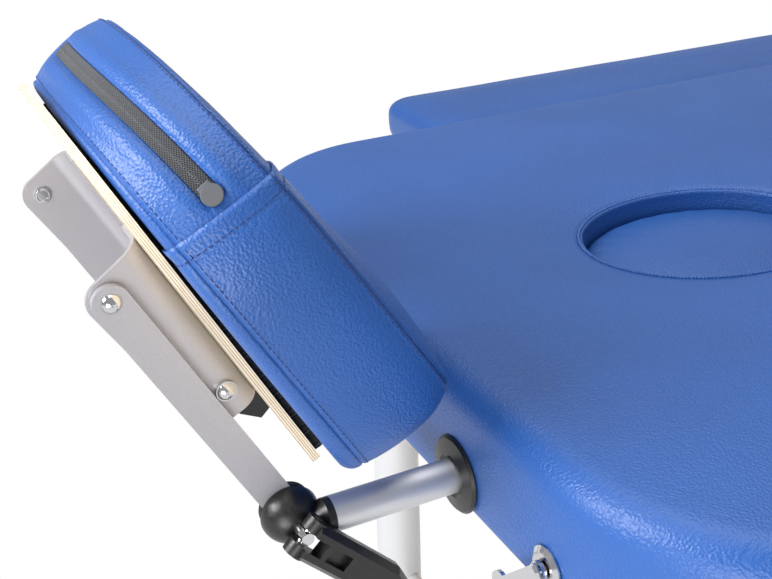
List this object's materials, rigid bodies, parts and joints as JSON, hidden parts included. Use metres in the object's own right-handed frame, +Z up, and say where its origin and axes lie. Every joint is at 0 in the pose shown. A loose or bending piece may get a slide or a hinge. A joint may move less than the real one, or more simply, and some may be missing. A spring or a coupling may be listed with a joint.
{
  "type": "folding massage table",
  "caption": "Portable massage table with a folding padded top, face hole with plug, side armrests, telescopic legs and a tilting cam-locked headrest.",
  "frame": {"origin": "on the floor, under the middle of the whole table's bounding box", "axes": "+X from the headrest towards the foot end, +Y towards the side away from the picture's viewer, +Z up"},
  "size_m": [2.0701, 1.032, 0.9046],
  "materials": {
    "upholstery": "satin grained coated leather",
    "plywood": "satin lacquered plywood with open edges",
    "frame_aluminium": "satin anodised",
    "leg_paint": "smooth satin powder coat",
    "steel": "dull zinc plated",
    "plated": "bright plated",
    "black_plastic": "moulded, slightly glossy",
    "rubber": "matt",
    "hook_and_loop": "matt",
    "zip_tape": "matt woven",
    "zip_pull": "smooth"
  },
  "bodies": {
    "head_section": {"head_pad": "upholstery", "head_deck": "plywood", "head_side_rails": "frame_aluminium", "head_end_rail": "frame_aluminium", "head_hinge_rail": "frame_aluminium", "headrest_sockets": "frame_aluminium", "headrest_grommets": "black_plastic", "head_leg_brackets": "steel", "head_hinge_leaves": "steel", "latch_rosettes": "plated", "armrest_sockets": "frame_aluminium", "armrest_grommets": "black_plastic"},
    "foot_section": {"foot_pad": "upholstery", "foot_deck": "plywood", "foot_side_rails": "frame_aluminium", "foot_end_rail": "frame_aluminium", "foot_hinge_rail": "frame_aluminium", "foot_leg_brackets": "steel", "foot_hinge_leaves": "steel", "latch_studs": "plated"},
    "face_plug": {"face_plug_cushion": "upholstery", "face_plug_board": "plywood"},
    "head_legs": {"head_leg_tubes": "leg_paint", "head_leg_crossbar": "leg_paint"},
    "foot_legs": {"foot_leg_tubes": "leg_paint", "foot_leg_crossbar": "leg_paint"},
    "lower_leg_head_near": {"lower_leg_head_near": "frame_aluminium", "rubber_foot_head_near": "rubber"},
    "collar_head_near": {"collar_head_near": "black_plastic"},
    "lower_leg_head_far": {"lower_leg_head_far": "frame_aluminium", "rubber_foot_head_far": "rubber"},
    "collar_head_far": {"collar_head_far": "black_plastic"},
    "lower_leg_foot_near": {"lower_leg_foot_near": "frame_aluminium", "rubber_foot_foot_near": "rubber"},
    "collar_foot_near": {"collar_foot_near": "black_plastic"},
    "lower_leg_foot_far": {"lower_leg_foot_far": "frame_aluminium", "rubber_foot_foot_far": "rubber"},
    "collar_foot_far": {"collar_foot_far": "black_plastic"},
    "headrest_support": {"headrest_tubes": "frame_aluminium", "headrest_hubs": "black_plastic", "clamp_bolts": "plated"},
    "headrest_arms": {"headrest_arms": "steel", "clamp_washers": "rubber"},
    "headrest_platform": {"platform_brackets": "steel", "platform_rivets": "plated", "headrest_board": "plywood", "hook_and_loop": "hook_and_loop", "headrest_cushion": "upholstery", "zipper_tape": "zip_tape"},
    "zipper_slider": {"zipper_slider": "zip_pull"},
    "cam_lever_near": {"cam_lever_near": "black_plastic"},
    "cam_lever_far": {"cam_lever_far": "black_plastic"},
    "armrest_near": {"armrest_pad_near": "upholstery", "armrest_board_near": "plywood", "armrest_rods_near": "frame_aluminium"},
    "armrest_far": {"armrest_pad_far": "upholstery", "armrest_board_far": "plywood", "armrest_rods_far": "frame_aluminium"},
    "latch_hook_near": {"latch_hook_near": "plated"},
    "latch_hook_far": {"latch_hook_far": "plated"}
  },
  "joints": [
    {"name": "table_fold", "type": "hinge", "parent": "head_section", "child": "foot_section", "pos_m": [0.09505, 0, 0.6045], "axis": [0, 1, 0], "range_deg": [0, 180]},
    {"name": "head_leg_fold", "type": "hinge", "parent": "head_section", "child": "head_legs", "pos_m": [-0.69995, 0, 0.623], "axis": [0, -1, 0], "range_deg": [0, 90]},
    {"name": "foot_leg_fold", "type": "hinge", "parent": "foot_section", "child": "foot_legs", "pos_m": [0.89005, 0, 0.623], "axis": [0, 1, 0], "range_deg": [0, 90]},
    {"name": "leg_length_head_near", "type": "slide", "parent": "head_legs", "child": "lower_leg_head_near", "axis": [0, 0, -1], "range_m": [-0.1, 0.1]},
    {"name": "leg_length_head_far", "type": "slide", "parent": "head_legs", "child": "lower_leg_head_far", "axis": [0, 0, -1], "range_m": [-0.1, 0.1]},
    {"name": "leg_length_foot_near", "type": "slide", "parent": "foot_legs", "child": "lower_leg_foot_near", "axis": [0, 0, -1], "range_m": [-0.1, 0.1]},
    {"name": "leg_length_foot_far", "type": "slide", "parent": "foot_legs", "child": "lower_leg_foot_far", "axis": [0, 0, -1], "range_m": [-0.1, 0.1]},
    {"name": "collar_twist_head_near", "type": "hinge", "parent": "head_legs", "child": "collar_head_near", "pos_m": [-0.69995, -0.262, 0.195], "axis": [0, 0, 1], "range_deg": [0, 60]},
    {"name": "collar_twist_head_far", "type": "hinge", "parent": "head_legs", "child": "collar_head_far", "pos_m": [-0.69995, 0.262, 0.195], "axis": [0, 0, 1], "range_deg": [0, 60]},
    {"name": "collar_twist_foot_near", "type": "hinge", "parent": "foot_legs", "child": "collar_foot_near", "pos_m": [0.89005, -0.208, 0.195], "axis": [0, 0, 1], "range_deg": [0, 60]},
    {"name": "collar_twist_foot_far", "type": "hinge", "parent": "foot_legs", "child": "collar_foot_far", "pos_m": [0.89005, 0.208, 0.195], "axis": [0, 0, 1], "range_deg": [0, 60]},
    {"name": "headrest_slide", "type": "slide", "parent": "head_section", "child": "headrest_support", "axis": [-1, 0, 0], "range_m": [0, 0.12]},
    {"name": "headrest_tilt", "type": "hinge", "parent": "headrest_support", "child": "headrest_arms", "pos_m": [-0.93995, 0, 0.631], "axis": [0, -1, 0], "range_deg": [-5, 80]},
    {"name": "platform_pivot", "type": "hinge", "parent": "headrest_arms", "child": "headrest_platform", "pos_m": [-1.02351, 0, 0.78817], "axis": [0, -1, 0], "range_deg": [0, 60]},
    {"name": "zipper_slide", "type": "slide", "parent": "headrest_platform", "child": "zipper_slider", "axis": [-0.3892, 0.5593, 0.7319], "range_m": [0, 0.025]},
    {"name": "cam_lever_near_turn", "type": "hinge", "parent": "headrest_support", "child": "cam_lever_near", "pos_m": [-0.93995, -0.117, 0.631], "axis": [-0.7193, 0, -0.6947], "range_deg": [0, 120]},
    {"name": "cam_lever_far_turn", "type": "hinge", "parent": "headrest_support", "child": "cam_lever_far", "pos_m": [-0.93995, 0.117, 0.631], "axis": [0.7193, 0, 0.6947], "range_deg": [0, 120]},
    {"name": "face_plug_lift", "type": "slide", "parent": "head_section", "child": "face_plug", "axis": [0, 0, 1], "range_m": [0, 0.06]},
    {"name": "armrest_near_slide", "type": "slide", "parent": "head_section", "child": "armrest_near", "axis": [0, -1, 0], "range_m": [0, 0.1]},
    {"name": "armrest_far_slide", "type": "slide", "parent": "head_section", "child": "armrest_far", "axis": [0, 1, 0], "range_m": [0, 0.1]},
    {"name": "latch_hook_near_swing", "type": "hinge", "parent": "head_section", "child": "latch_hook_near", "pos_m": [-0.8402, -0.205, 0.631], "axis": [-1, 0, 0], "range_deg": [-40, 45]},
    {"name": "latch_hook_far_swing", "type": "hinge", "parent": "head_section", "child": "latch_hook_far", "pos_m": [-0.8402, 0.205, 0.631], "axis": [1, 0, 0], "range_deg": [-40, 45]}
  ],
  "couplings": [
    {"joint": "head_leg_fold", "follows": "table_fold", "ratio": 0.5},
    {"joint": "foot_leg_fold", "follows": "table_fold", "ratio": 0.5}
  ]
}
